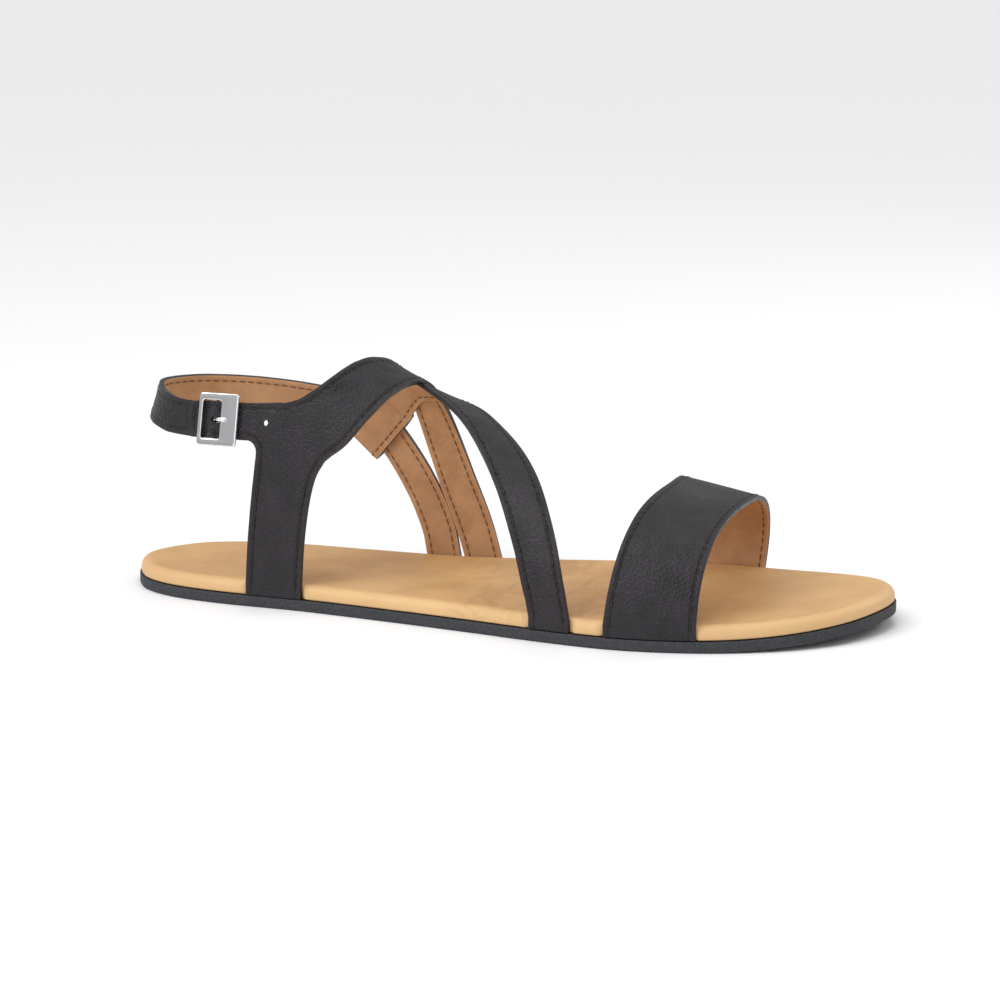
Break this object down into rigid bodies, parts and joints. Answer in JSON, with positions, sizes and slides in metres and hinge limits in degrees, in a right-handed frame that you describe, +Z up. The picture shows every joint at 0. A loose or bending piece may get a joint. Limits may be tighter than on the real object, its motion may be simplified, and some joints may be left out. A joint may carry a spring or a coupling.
{
  "type": "strap sandal",
  "caption": "Flat strap sandal for the right foot with a thin rubber sole, a padded leather footbed, a crossed leather strap upper and a buckled heel strap",
  "frame": {"origin": "middle of the bounding box in plan, at the level of the floor", "axes": "+X from the heel to the toe, +Y to the inner side of the right foot, +Z up"},
  "size_m": [0.255, 0.0966, 0.0787],
  "materials": {
    "black_rubber": "matt, finely pebbled underneath",
    "tan_leather": "smooth, satin",
    "dark_leather": "fine grain, satin",
    "polished_silver": "polished"
  },
  "bodies": {
    "root": {"outsole": "black_rubber", "footbed": "tan_leather", "toe_band": "dark_leather", "upper_straps": "dark_leather", "heel_strap": "dark_leather", "buckle_frame": "polished_silver", "buckle_prong": "polished_silver"}
  },
  "joints": []
}
